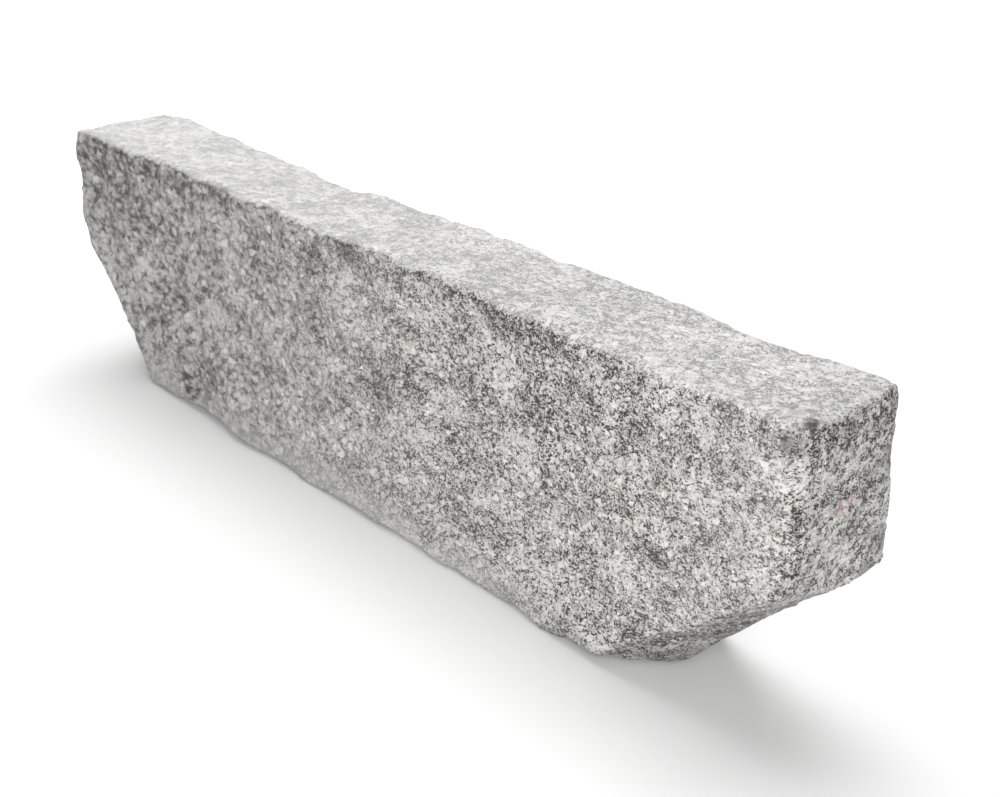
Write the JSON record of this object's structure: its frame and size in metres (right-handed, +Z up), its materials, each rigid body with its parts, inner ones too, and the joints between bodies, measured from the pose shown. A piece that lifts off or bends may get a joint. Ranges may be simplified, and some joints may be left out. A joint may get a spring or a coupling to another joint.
{
  "type": "granite kerb stone",
  "caption": "Split grey granite kerb stone with ragged arrises, a nearly level top, and ends that are squared above and broken back below towards the bed.",
  "frame": {"origin": "centre of the stone's footprint, on the plane that the bed bears on", "axes": "+X along the stone towards the end that is broken back further, -Y towards the road face, +Z up through the top"},
  "size_m": [1.0154, 0.126, 0.2715],
  "materials": {
    "granite": "split, unpolished, coarse crystalline grain with dark mica flecks"
  },
  "bodies": {
    "root": {"kerb_stone": "granite"}
  },
  "joints": []
}
